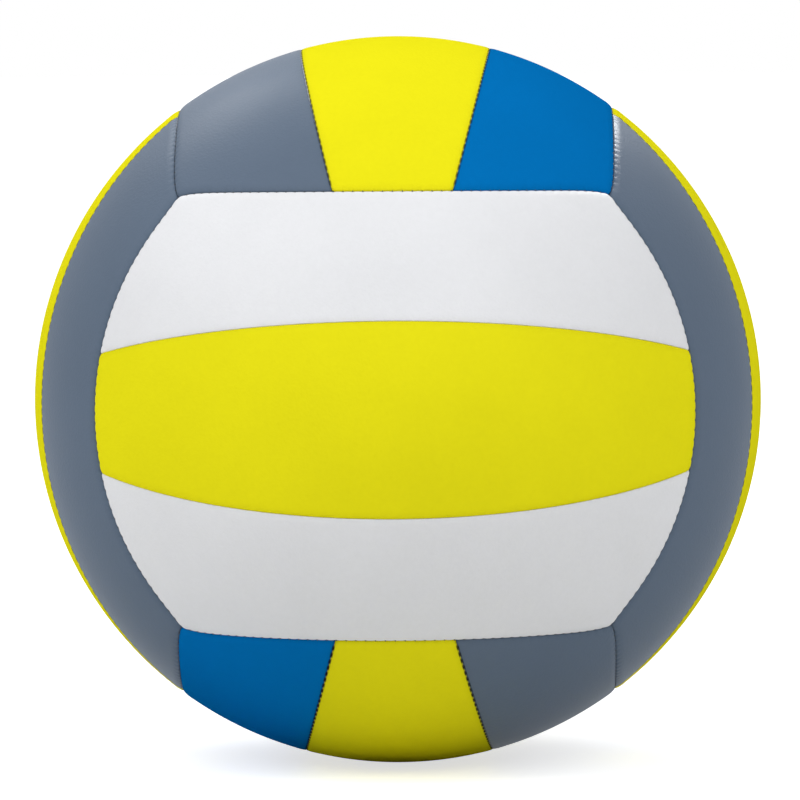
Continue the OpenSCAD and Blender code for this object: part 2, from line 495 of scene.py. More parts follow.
BACK = turn((0, 0, 1), 180)
BOTTOM = turn((1, 1, 1), 120)
LEFT = turn((1, 1, 1), 240)
FACES = {
    "front": np.eye(3), "back": BACK, "bottom": BOTTOM, "top": BOTTOM @ BACK,
    "left": LEFT, "right": LEFT @ BACK,
}
LAYOUT = (
    ("front", Strip.OUTER, "upper", Leather.WHITE),
    ("front", Strip.MIDDLE, "middle", Leather.YELLOW),
    ("front", Strip.OUTER_TURNED, "lower", Leather.WHITE),
    ("back", Strip.OUTER, "upper", Leather.WHITE),
    ("back", Strip.MIDDLE, "middle", Leather.YELLOW),
    ("back", Strip.OUTER_TURNED, "lower", Leather.WHITE),
    ("top", Strip.OUTER_TURNED, "left", Leather.GREY),
    ("top", Strip.MIDDLE, "middle", Leather.YELLOW),
    ("top", Strip.OUTER, "right", Leather.BLUE),
    ("bottom", Strip.OUTER_TURNED, "left", Leather.BLUE),
    ("bottom", Strip.MIDDLE, "middle", Leather.YELLOW),
    ("bottom", Strip.OUTER, "right", Leather.GREY),
    ("left", Strip.OUTER_TURNED, "front", Leather.GREY),
    ("left", Strip.MIDDLE, "middle", Leather.YELLOW),
    ("left", Strip.OUTER, "back", Leather.BLUE),
    ("right", Strip.OUTER_TURNED, "front", Leather.GREY),
    ("right", Strip.MIDDLE, "middle", Leather.YELLOW),
    ("right", Strip.OUTER, "back", Leather.BLUE),
)


def leather_grain() -> NodeTree:
    """Makes the shader group of fine leather grain.

    Returns:
        Group with Height for bump and Tone for small changes of colour and gloss.
    """
    number = "NodeSocketFloat"
    graph, given, result = new_group(
        "Leather grain", "ShaderNodeTree",
        {"Vector": ("NodeSocketVector", None), "Seam Distance": (number, 0.0),
         "Pebble Scale": (number, 1500.0), "Fine Scale": (number, 700.0), "Broad Scale": (number, 28.0),
         "Crease Scale": (number, 340.0), "Crease Width": (number, 2 * MM), "Crease Depth": (number, 0.4),
         "Broad Share": (number, 0.7)},
        {"Height": number, "Tone": number})
    place = given.outputs["Vector"]
    cells = graph.add("ShaderNodeTexVoronoi", feature="SMOOTH_F1")
    graph.put(place, cells.inputs["Vector"])
    graph.put(given.outputs["Pebble Scale"], cells.inputs["Scale"])
    cells.inputs["Smoothness"].default_value = 0.6
    fine = graph.noise(place, given.outputs["Fine Scale"], detail=4.0).outputs[0]
    broad = graph.noise(place, given.outputs["Broad Scale"], detail=3.0).outputs[0]
    creases = graph.noise(place, given.outputs["Crease Scale"], detail=2.0).outputs[0]
    near = graph.fade(given.outputs["Seam Distance"], given.outputs["Crease Width"])
    crease = graph.math("MULTIPLY", graph.math("MULTIPLY", creases, near), given.outputs["Crease Depth"])
    pebble = graph.mean(cells.outputs["Distance"], fine, share=0.5)
    graph.put(graph.math("ADD", pebble, crease), result.inputs["Height"])
    graph.put(graph.mean(fine, broad, given.outputs["Broad Share"]), result.inputs["Tone"])
    return graph.tree


def painted_seam_shade() -> NodeTree:
    """Makes the shader group of the painted shade that darkens a panel's colour towards its seams, and of
    the painted shadow in the seams.

    Returns:
        Group with a painted shade mask, 1 in the seam and 0 on the open panel, and a painted shadow mask, 1
        where the seam's edge is painted dark.
    """
    number = "NodeSocketFloat"
    graph, given, result = new_group(
        "Painted seam shade", "ShaderNodeTree",
        {"Seam Distance": (number, 0.0), "Width": (number, 0.6 * MM), "Painted Shadow Strength": (number, 0.0),
         "Painted Seam Shadow Start": (number, 0.2 * MM), "Painted Seam Shadow End": (number, 0.48 * MM)},
        {"Mask": number, "Painted Seam Shadow": number})
    distance = given.outputs["Seam Distance"]
    graph.put(graph.fade(distance, given.outputs["Width"]), result.inputs["Mask"])
    ends = (given.outputs["Painted Seam Shadow Start"], given.outputs["Painted Seam Shadow End"])
    # Painted shadow in the seam: full up to the first distance, none past the second, scaled by the given
    # strength.
    deep = graph.span(distance, ends, (1.0, 0.0))
    graph.put(graph.math("MULTIPLY", deep, given.outputs["Painted Shadow Strength"]), result.inputs["Painted Seam Shadow"])
    return graph.tree


def new_material(name: str) -> tuple[Material, Graph, Node]:
    """Makes a material with a Principled shader.

    Args:
        name: Name of the material.

    Returns:
        The material, its graph and its shader.
    """
    material = bpy.data.materials.new(name)
    material.use_nodes = True
    return material, Graph(material.node_tree), material.node_tree.nodes["Principled BSDF"]


@dataclass(frozen=True)
class LeatherFinish:
    """Satin synthetic leather in one colour."""

    name: str
    colour: str
    # The shade colour is painted shade: the panel turns to it towards its seams.
    shade: str
    gloss: float
    roughness: float
    # Colour of the painted shadow in the seams.
    painted_shadow_colour: str = "#1d1f21"
    uneven_colour: float = 0.03
    uneven_gloss: float = 0.04
    tones: tuple[float, float] = (0.3, 0.7)
    grain: float = 0.22
    grain_depth: float = 0.4 * MM

    def build(self, grain: NodeTree, seam: NodeTree) -> Material:
        """Makes the material.

        Args:
            grain: Leather grain group.
            seam: Group of the painted seam shade and the painted seam shadow.

        Returns:
            The material.
        """
        material, graph, shader = new_material(self.name)
        distance = graph.add("ShaderNodeAttribute", attribute_name="seam_distance").outputs["Fac"]
        texture = graph.add("ShaderNodeGroup", node_tree=grain)
        graph.put(graph.add("ShaderNodeTexCoord").outputs["Object"], texture.inputs["Vector"])
        graph.put(distance, texture.inputs["Seam Distance"])
        # Painted shade towards the seams, then a painted shadow in the seams, as strong as the panel's
        # stored strength.
        near = graph.add("ShaderNodeGroup", node_tree=seam)
        graph.put(distance, near.inputs["Seam Distance"])
        painted_shadow = graph.add("ShaderNodeAttribute", attribute_name="painted_seam_shadow").outputs["Fac"]
        graph.put(painted_shadow, near.inputs["Painted Shadow Strength"])
        colour = graph.blend(near.outputs["Mask"], srgb(self.colour), srgb(self.shade))
        colour = graph.blend(near.outputs["Painted Seam Shadow"], colour, srgb(self.painted_shadow_colour))
        tone = texture.outputs["Tone"]
        brightness = graph.span(tone, self.tones, (1 - self.uneven_colour, 1 + self.uneven_colour))
        graph.put(graph.vector("SCALE", colour, brightness), shader.inputs["Base Color"])
        limits = (self.roughness - self.uneven_gloss, self.roughness + self.uneven_gloss)
        graph.put(graph.span(tone, self.tones, limits), shader.inputs["Roughness"])
        shader.inputs["Specular IOR Level"].default_value = self.gloss
        normal = graph.bump(texture.outputs["Height"], self.grain, self.grain_depth)
        graph.put(normal, shader.inputs["Normal"])
        return material


@dataclass(frozen=True)
class PlainFinish:
    """Thread, rubber or foam with a fine mottle of its own."""

    name: str
    colour: str
    shade: str
    roughness: float
    scale: float
    bump: float
    detail: float = 4.0
    bump_depth: float = 0.3 * MM

    def build(self) -> Material:
        """Makes the material.

        Returns:
            The material.
        """
        material, graph, shader = new_material(self.name)
        place = graph.add("ShaderNodeTexCoord").outputs["Object"]
        mottle = graph.noise(place, self.scale, self.detail).outputs[0]
        graph.put(graph.blend(mottle, srgb(self.shade), srgb(self.colour)), shader.inputs["Base Color"])
        shader.inputs["Roughness"].default_value = self.roughness
        graph.put(graph.bump(mottle, self.bump, self.bump_depth), shader.inputs["Normal"])
        return material


# The second colour of each leather is the painted shade towards its seams.
LEATHERS = {
    Leather.WHITE: LeatherFinish("White leather", "#e6e7ea", "#dfe0e4", gloss=0.12, roughness=0.46),
    Leather.YELLOW: LeatherFinish("Yellow leather", "#ebe31a", "#dad11a", gloss=0.0, roughness=0.5),
    Leather.GREY: LeatherFinish("Grey leather", "#616f81", "#596778", gloss=0.025, roughness=0.4),
    Leather.BLUE: LeatherFinish("Blue leather", "#046eb5", "#0465a6", gloss=0.0, roughness=0.55),
}
DARK_THREAD = PlainFinish("Dark seam thread", "#54585c", "#3c3f42", roughness=0.75, scale=2600.0, bump=0.5)
PALE_THREAD = PlainFinish("Pale seam thread", "#d9d7b4", "#c4c19a", roughness=0.75, scale=2600.0, bump=0.5)
FOAM = PlainFinish("Cover foam", "#d9d4c4", "#c2bcaa", roughness=0.9, scale=900.0, bump=0.4)
BLADDER_RUBBER = PlainFinish("Bladder rubber", "#232427", "#1a1b1d", roughness=0.55, scale=180.0, bump=0.15)
PATCH_RUBBER = PlainFinish("Patch rubber", "#33363a", "#26282b", roughness=0.7, scale=300.0, bump=0.3)
VALVE_RUBBER = PlainFinish("Valve rubber", "#3b3f44", "#303337", roughness=0.5, scale=900.0, bump=0.15)
INSERT_RUBBER = PlainFinish("Insert rubber", "#6a7078", "#5c626a", roughness=0.45, scale=1200.0, bump=0.12)


def finish_tree(graph: Graph, given: Node, result: Node, shape: NodeSocket,
                smooth: bool = False) -> NodeTree:
    """Ends a geometry tree: real meshes, shaded smooth where asked, in the material that it is given.

    Args:
        graph: Graph to add to.
        given: The tree's input node.
        result: The tree's output node.
        shape: Geometry to end with.
        smooth: True to shade it smooth.

    Returns:
        The finished tree.
    """
    whole = graph.add("GeometryNodeRealizeInstances")
    graph.put(shape, whole.inputs[0])
    shape = whole.outputs[0]
    if smooth:
        shaded = graph.add("GeometryNodeSetShadeSmooth")
        graph.put(shape, shaded.inputs["Geometry"])
        shape = shaded.outputs[0]
    dressed = graph.add("GeometryNodeSetMaterial")
    graph.put(shape, dressed.inputs["Geometry"])
    graph.put(given.outputs["Material"], dressed.inputs["Material"])
    graph.put(dressed.outputs[0], result.inputs["Geometry"])
    return graph.tree


@dataclass
class Relief:
    """Rolled edges, crowned faces and stitch puckers of the panels, made by geometry nodes.

    Sizes that start with strip hold at the seams within a face, the others at the seams between faces.
    """

    roll: float = 0.42 * MM
    strip_roll: float = 0.2 * MM
    crown: float = 0.45 * MM
    crown_width: float = 2.6 * MM
    strip_crown: float = 0.2 * MM
    strip_crown_width: float = 2.0 * MM
    pinch: float = 0.8
    pinch_width: float = 1.1 * MM
    pinch_sharpness: float = 3.0
    pucker: float = 0.3 * MM
    strip_pucker: float = 0.06 * MM
    swell: float = 0.10 * MM
    swell_scale: float = 38.0
    swell_start: float = 4 * MM
    # Strength of the painted shadow in each face's strip seams.
    painted_shadow: dict[str, float] = field(default_factory=lambda: {
        "top": 0.7, "bottom": 1.0, "left": 1.0, "right": 1.0, "front": 0.0, "back": 0.0})
    tree: NodeTree = field(init=False)

    def __post_init__(self) -> None:
        """Builds the tree."""
        number = "NodeSocketFloat"
        graph, given, result = new_group(
            "Panel relief", "GeometryNodeTree",
            {"Geometry": ("NodeSocketGeometry", None), "Roll Radius": (number, self.roll),
             "Strip Roll Radius": (number, self.strip_roll),
             "Crown Depth": (number, self.crown), "Crown Width": (number, self.crown_width),
             "Strip Crown Depth": (number, self.strip_crown),
             "Strip Crown Width": (number, self.strip_crown_width),
             "Pinch": (number, self.pinch), "Pinch Width": (number, self.pinch_width),
             "Pucker Depth": (number, self.pucker), "Strip Pucker Depth": (number, self.strip_pucker),
             "Stitch Pitch": (number, SIZES.pitch), "Corner Round": (number, SIZES.corner),
             "Seam Gap": (number, SIZES.gap), "Swell Depth": (number, self.swell),
             "Swell Scale": (number, self.swell_scale), "Swell Start": (number, self.swell_start),
             "Strip Painted Shadow Strength": (number, 0.0), "Seed": (number, 0.0),
             "Material": ("NodeSocketMaterial", None)},
            {"Geometry": "NodeSocketGeometry"})
        side, end = self.stored(graph, "side_distance"), self.stored(graph, "end_distance")
        nearest = graph.math("SMOOTH_MIN", side, end, given.outputs["Corner Round"])
        to_seam = self.past_gap(graph, given, nearest)
        to_edge = self.past_gap(graph, given, self.stored(graph, "edge_distance"))
        pinches = graph.math("MAXIMUM", self.pinched(graph, given, side, "side_arc"),
                             self.pinched(graph, given, end, "end_arc"))
        depth = graph.math("MULTIPLY", self.depth(graph, given, to_seam, to_edge, pinches),
                           self.stored(graph, "cover"))
        outwards = graph.vector("NORMALIZE", graph.add("GeometryNodeInputPosition").outputs[0])
        offset = graph.vector("SCALE", outwards, graph.math("MULTIPLY", depth, -1.0))
        moved = graph.add("GeometryNodeSetPosition")
        graph.put(given.outputs["Geometry"], moved.inputs["Geometry"])
        graph.put(offset, moved.inputs["Offset"])
        # Strength of the painted shadow in the seams: only in strip seams, as strong as the face's setting,
        # and weaker where the stitches draw the edges together. It is stored for the leather to paint with.
        off_edge = graph.math("MINIMUM", graph.math(
            "DIVIDE", graph.math("SUBTRACT", to_edge, to_seam), given.outputs["Corner Round"]), 1.0)
        painted_shadow = graph.math("MULTIPLY", off_edge, given.outputs["Strip Painted Shadow Strength"])
        painted_shadow = graph.math("MULTIPLY", painted_shadow, graph.math("SUBTRACT", 1.0, pinches))
        shape = moved.outputs[0]
        for name, value in (("seam_distance", to_seam), ("painted_seam_shadow", painted_shadow)):
            kept = graph.add("GeometryNodeStoreNamedAttribute", data_type="FLOAT", domain="POINT")
            graph.put(shape, kept.inputs["Geometry"])
            kept.inputs["Name"].default_value = name
            graph.put(value, kept.inputs["Value"])
            shape = kept.outputs[0]
        self.tree = finish_tree(graph, given, result, shape)

    @staticmethod
    def stored(graph: Graph, name: str) -> NodeSocket:
        """Reads a number that is stored on the points.

        Args:
            graph: Graph to add to.
            name: Name of the attribute.

        Returns:
            The number's socket.
        """
        node = graph.add("GeometryNodeInputNamedAttribute", data_type="FLOAT")
        node.inputs["Name"].default_value = name
        return node.outputs["Attribute"]

    @staticmethod
    def past_gap(graph: Graph, given: Node, distance: NodeSocket) -> NodeSocket:
        """Turns a distance from the seam's middle into one from the panel's rim, never below 0."""
        return graph.math("MAXIMUM", graph.math("SUBTRACT", distance, given.outputs["Seam Gap"]), 0.0)

    @staticmethod
    def near(graph: Graph, distance: NodeSocket, width: NodeSocket) -> NodeSocket:
        """Falls evenly from 1 in the seam to 0 at the width's distance from it."""
        share = graph.math("DIVIDE", distance, width)
        return graph.math("MAXIMUM", graph.math("SUBTRACT", 1.0, share), 0.0)

    def depth(self, graph: Graph, given: Node, to_seam: NodeSocket,
              to_edge: NodeSocket, pinches: NodeSocket) -> NodeSocket:
        """Works out how far each point sinks.

        Args:
            graph: Graph to add to.
            given: The tree's input node.
            to_seam: Distance from the nearest seam.
            to_edge: Distance from the nearest seam between faces.
            pinches: Strength of the stitches' pull.

        Returns:
            The depth's socket.
        """
        near_edge = self.near(graph, to_edge, given.outputs["Crown Width"])
        roll, pucker = (graph.mean(given.outputs[f"Strip {name}"], given.outputs[name], near_edge)
                        for name in ("Roll Radius", "Pucker Depth"))
        short = graph.math("SUBTRACT", roll, graph.math("MINIMUM", to_seam, roll))
        arc = graph.math("SQRT", graph.math("MAXIMUM", graph.math(
            "SUBTRACT", graph.math("MULTIPLY", roll, roll), graph.math("MULTIPLY", short, short)), 0.0))
        kept_roll = graph.math("SUBTRACT", 1.0, graph.math("MULTIPLY", pinches, given.outputs["Pinch"]))
        crowned = graph.math("MAXIMUM", self.crowned(graph, given, to_edge, "Crown"),
                             self.crowned(graph, given, to_seam, "Strip Crown"))
        depth = graph.math("MULTIPLY_ADD", graph.math("SUBTRACT", roll, arc), kept_roll, crowned)
        depth = graph.math("MULTIPLY_ADD", pinches, pucker, depth)
        return graph.math("ADD", depth, self.swelling(graph, given, to_seam))

    def crowned(self, graph: Graph, given: Node, distance: NodeSocket,
                kind: str) -> NodeSocket:
        """Curves the face down towards the seams of one kind, which starts the names of their inputs."""
        rest = self.near(graph, distance, given.outputs[f"{kind} Width"])
        return graph.math("MULTIPLY", given.outputs[f"{kind} Depth"], graph.math("MULTIPLY", rest, rest))

    def pinched(self, graph: Graph, given: Node, distance: NodeSocket,
                arc_name: str) -> NodeSocket:
        """Marks where the stitches of one seam draw the two panels' edges together.

        Args:
            graph: Graph to add to.
            given: The tree's input node.
            distance: Distance from the seam.
            arc_name: Attribute with the length along the seam.

        Returns:
            Strength of the pull, 1 at a stitch and 0 away from it.
        """
        turns = graph.math("DIVIDE", self.stored(graph, arc_name), given.outputs["Stitch Pitch"])
        wave = graph.math("COSINE", graph.math("MULTIPLY", turns, 2 * math.pi))
        share = graph.math("POWER", graph.math("MULTIPLY_ADD", wave, 0.5, 0.5), self.pinch_sharpness)
        return graph.math("MULTIPLY", share, graph.fade(distance, given.outputs["Pinch Width"]))

    @staticmethod
    def swelling(graph: Graph, given: Node, distance: NodeSocket) -> NodeSocket:
        """Lets the face swell and sink a little, as foam-backed leather does.

        Args:
            graph: Graph to add to.
            given: The tree's input node.
            distance: Distance from the seam.

        Returns:
            Depth of the swell.
        """
        place = graph.add("GeometryNodeInputPosition").outputs[0]
        noise = graph.noise(place, given.outputs["Swell Scale"], detail=1.0, noise_dimensions="4D")
        graph.put(given.outputs["Seed"], noise.inputs["W"])
        share = graph.math("MINIMUM", graph.math("DIVIDE", distance, given.outputs["Swell Start"]), 1.0)
        return graph.math("MULTIPLY", graph.math("MULTIPLY", noise.outputs[0], share),
                          given.outputs["Swell Depth"])


@dataclass
class Cover:
    """The eighteen sewn cover panels."""

    fine: float = 0.35 * MM
    rows: tuple[float, ...] = (0, .05, .12, .2, .3, .42, .58, .8, 1.1, 1.45, 1.85, 2.3, 2.8, 3.4, 4.1)
    coarse_step: int = 4
    inner_step: int = 14
    rim_fade: float = 4 * MM
    sharp_angle: float = math.radians(40)
    first_guess: float = 0.98
    seed_step: float = 3.7
    relief: Relief = field(default_factory=Relief)

    def lines(self, length: float) -> np.ndarray:
        """Spaces the grid lines over a length, closer near both ends.

        Args:
            length: Length in metres.

        Returns:
            Shares of the length, from 0 to 1.
        """
        start = np.array(self.rows) * MM
        count = max(2, round((length - 2 * start[-1]) / self.fine))
        middle = np.linspace(start[-1], length - start[-1], count + 1)[1:-1]
        return np.concatenate([start, middle, (length - start)[::-1]]) / length

    def borders(self, strip: Strip) -> Borders:
        """Names the four seams round a panel of the front face.

        Args:
            strip: Middle or outer strip.

        Returns:
            Lower, upper, left and right seam, each with 1 where the panel lies away from its axis.
        """
        ends = ((end_seam(-1), -1), (end_seam(1), -1))
        if strip == Strip.MIDDLE:
            return ((strip_seam(False), 1), (strip_seam(True), 1)) + ends
        return ((strip_seam(True), -1), (edge_seam(), 1)) + ends

    @staticmethod
    def crossing(seam: Seam, other: Seam, near: float) -> np.ndarray:
        """Finds where a seam meets another.

        Args:
            seam: Seam to walk along.
            other: Seam that it meets.
            near: Angle along the first seam to start from.

        Returns:
            Unit vector of the crossing.
        """
        rounds, step = 30, 1e-5
        for _ in range(rounds):
            here = other.measure(seam.place(np.array([near])))[0][0]
            there = other.measure(seam.place(np.array([near + step])))[0][0]
            near -= here * step / (there - here)
        return seam.place(np.array([near]))[0]

    def patch(self, borders: Borders) -> np.ndarray:
        """Spans a grid over a panel.

        Args:
            borders: Lower, upper, left and right seam.

        Returns:
            Unit vectors, indexed along the strip and across it.
        """
        low, high, left, right = (seam for seam, _ in borders)
        corners = {}
        for row, seam in (("low", low), ("high", high)):
            for column, other in (("left", left), ("right", right)):
                guess = seam.along_of(other.place(np.array([0.0]))[0])
                guess = math.copysign(seam.end * self.first_guess, guess)
                corners[row, column] = self.crossing(seam, other, guess)
        radius = SIZES.radius
        turns = {row: abs(seam.along_of(corners[row, "left"]) - seam.along_of(corners[row, "right"]))
                 for row, seam in (("low", low), ("high", high))}
        long_side = radius * 0.5 * (turns["low"] * math.sin(low.half) + turns["high"] * math.sin(high.half))
        lowest, highest = (seam.place(np.array([0.0]))[0] for seam in (low, high))
        wide = radius * math.acos(float(np.clip(lowest @ highest, -1, 1)))
        u = self.lines(long_side)
        v = self.lines(wide)

        def run(seam: Seam, start: np.ndarray, stop: np.ndarray, shares: np.ndarray) -> np.ndarray:
            """Points on a seam between two of its points, at given shares."""
            first, last = seam.along_of(start), seam.along_of(stop)
            return seam.place(first + (last - first) * shares)

        bottom = run(low, corners["low", "left"], corners["low", "right"], u)
        top = run(high, corners["high", "left"], corners["high", "right"], u)
        first = run(left, corners["low", "left"], corners["high", "left"], v)
        last = run(right, corners["low", "right"], corners["high", "right"], v)
        a, b = u[:, None, None], v[None, :, None]
        grid = ((1 - b) * bottom[:, None] + b * top[:, None] + (1 - a) * first[None] + a * last[None]
                - (1 - a) * (1 - b) * corners["low", "left"] - a * (1 - b) * corners["low", "right"]
                - (1 - a) * b * corners["high", "left"] - a * b * corners["high", "right"])
        return grid / np.linalg.norm(grid, axis=2)[:, :, None]

    @staticmethod
    def distances(points: np.ndarray, borders: Borders) -> list[tuple[np.ndarray, np.ndarray]]:
        """Measures points against the four seams of their panel.

        Args:
            points: Unit vectors, one in each row.
            borders: The panel's seams.

        Returns:
            Distance inwards and length along, for each seam.
        """
        found = []
        for seam, sign in borders:
            distance, arc = seam.measure(points)
            found.append((sign * distance, arc))
        return found

    def pulled_in(self, points: np.ndarray, borders: Borders, inset: float) -> np.ndarray:
        """Moves points away from the seams, and rounds the panel's corners.

        Args:
            points: Unit vectors, one in each row.
            borders: The panel's seams.
            inset: Distance that the panel's rim keeps from its seams.

        Returns:
            Moved unit vectors.
        """
        found = self.distances(points, borders)
        near, heading = [], []
        for k in (0, 2):
            first, second = found[k][0], found[k + 1][0]
            near.append(np.minimum(first, second))
            one, two = (sign * seam.away(points) for seam, sign in borders[k:k + 2])
            heading.append(np.where((first <= second)[:, None], one, two))
        lack = np.minimum(*near) - smooth_min(*near)
        shares = [np.clip(1 - near[k] / self.rim_fade, 0, 1) for k in (0, 1)]
        moved = points.copy()
        for k in (0, 1):
            moved += heading[k] * (shares[k] * inset / SIZES.radius)[:, None]
        both = heading[0] + heading[1]
        both /= np.maximum(np.linalg.norm(both, axis=1), 1e-9)[:, None]
        moved += both * (lack * np.minimum(shares[0], shares[1]) / SIZES.radius)[:, None]
        return moved / np.linalg.norm(moved, axis=1)[:, None]

    def panel(self, face_name: str, strip: Strip, place: str) -> Object:
        """Builds one panel as a closed skin with turned-in edges.

        Args:
            face_name: Face of the ball.
            strip: Which strip of the face.
            place: Place of the strip on the face.

        Returns:
            The panel, before its relief.
        """
        borders = self.borders(strip)
        grid = self.patch(borders)
        flat = grid.reshape(-1, 3)
        outer = self.pulled_in(flat, borders, SIZES.gap)
        inner = self.pulled_in(flat, borders, SIZES.gap + SIZES.hem)
        total = len(flat)
        index = np.arange(total).reshape(grid.shape[:2])
        rim = np.concatenate([index[:-1, 0], index[-1, :-1], index[:0:-1, -1], index[0, :0:-1]])
        count = np.arange(len(rim))
        deep = SIZES.radius - SIZES.hem_depth
        points = np.concatenate([outer * SIZES.radius, inner * (SIZES.radius - SIZES.skin),
                                 outer[rim] * deep, inner[rim] * deep])
        loops = [rim, 2 * total + count, 2 * total + len(rim) + count, total + rim]
        faces = self.band(index) + self.coarse(index, len(self.rows) - 1, self.coarse_step)
        for upper, lower in zip(loops[:-1], loops[1:]):
            faces += np.stack([lower, np.roll(lower, -1), np.roll(upper, -1), upper], 1).tolist()
        faces += [face[::-1] for face in self.coarse(index + total, 0, self.inner_step)]
        used = np.unique(np.concatenate([np.array(face) for face in faces]))
        numbers = np.zeros(len(points), int)
        numbers[used] = np.arange(len(used))
        matrix = FACES[face_name]
        if strip == Strip.OUTER_TURNED:
            matrix = matrix @ turn((0, 1, 0), 180)
        piece = new_piece(f"{face_name}_{place}_leather", points[used] @ matrix.T,
                          [tuple(numbers[face].tolist()) for face in faces])
        self.store(piece.data, outer, borders, used)
        return piece

    def band(self, index: np.ndarray) -> list[list[int]]:
        """Makes the fine faces along a panel's four seams.

        Args:
            index: The grid's point numbers.

        Returns:
            Faces that look outwards.
        """
        edge = len(self.rows) - 1
        keep = np.ones(np.array(index.shape) - 1, bool)
        keep[edge:-edge, edge:-edge] = False
        corners = (index[:-1, :-1], index[1:, :-1], index[1:, 1:], index[:-1, 1:])
        return np.stack([corner[keep] for corner in corners], 1).tolist()

    @staticmethod
    def coarse(index: np.ndarray, start: int, step: int) -> list[list[int]]:
        """Makes large faces that skip lines of a grid and keep every point of their outer rim.

        Args:
            index: The grid's point numbers.
            start: Lines left out along each side.
            step: Lines from one face's edge to the next.

        Returns:
            Faces that look outwards.
        """
        last_u, last_v = index.shape[0] - 1 - start, index.shape[1] - 1 - start
        across = sorted(set(range(start, last_u, step)) | {last_u})
        along = sorted(set(range(start, last_v, step)) | {last_v})
        faces = []
        for i0, i1 in zip(across[:-1], across[1:]):
            for j0, j1 in zip(along[:-1], along[1:]):
                low = range(i0, i1) if j0 == start else [i0]
                right = range(j0, j1) if i1 == last_u else [j0]
                high = range(i1, i0, -1) if j1 == last_v else [i1]
                left = range(j1, j0, -1) if i0 == start else [j1]
                walk = ([(i, j0) for i in low] + [(i1, j) for j in right]
                        + [(i, j1) for i in high] + [(i0, j) for j in left])
                faces.append([int(index[i, j]) for i, j in walk])
        return faces

    def store(self, mesh: Mesh, outer: np.ndarray, borders: Borders,
              used: np.ndarray) -> None:
        """Stores what the relief needs on a panel's points.

        Args:
            mesh: The panel's mesh.
            outer: Unit vectors of the outer side, before the panel was turned into place.
            borders: The panel's seams.
            used: Number that each point of the mesh had in the whole grid; the outer side's come first.
        """
        skin = used[used < len(outer)]
        found = [(distance[skin], arc[skin]) for distance, arc in self.distances(outer, borders)]
        for name, first, second in (("side", found[0], found[1]), ("end", found[2], found[3])):
            pick = first[0] <= second[0]
            for label, k in (("distance", 0), ("arc", 1)):
                values = np.zeros(len(used))
                values[:len(skin)] = np.where(pick, first[k], second[k])
                add_value(mesh, f"{name}_{label}", values)
        ends = np.minimum(found[2][0], found[3][0])
        edge = np.zeros(len(used))
        edge[:len(skin)] = smooth_min(found[1][0], ends) if borders[1][0].bulge else ends
        add_value(mesh, "edge_distance", edge)
        cover = np.zeros(len(used))
        cover[:len(skin)] = 1
        add_value(mesh, "cover", cover)

    def build(self) -> None:
        """Builds, shapes and dresses all panels."""
        grain, seam = leather_grain(), painted_seam_shade()
        materials = {leather: finish.build(grain, seam) for leather, finish in LEATHERS.items()}
        for number, (face, strip, place, leather) in enumerate(LAYOUT):
            piece = self.panel(face, strip, place)
            # Each face gives its own strength to the painted shadow in its strip seams.
            run_tree(piece, self.relief.tree, {
                "Seed": self.seed_step * number, "Material": materials[leather],
                "Strip Painted Shadow Strength": self.relief.painted_shadow[face]})
            node = f"{face}_{place}_panel"
            if node == "back_middle_panel":
                Valve().open_cover(piece, materials[leather])
            for name in ("side_distance", "side_arc", "end_distance", "end_arc", "edge_distance", "cover"):
                spare = piece.data.attributes.get(name)
                if spare:
                    piece.data.attributes.remove(spare)
            piece.data.set_sharp_from_angle(angle=self.sharp_angle)
            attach(piece, BODY)
            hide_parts(node)
            LOG.info("%s: %d faces, %s leather", piece.name, len(piece.data.polygons), leather.value)


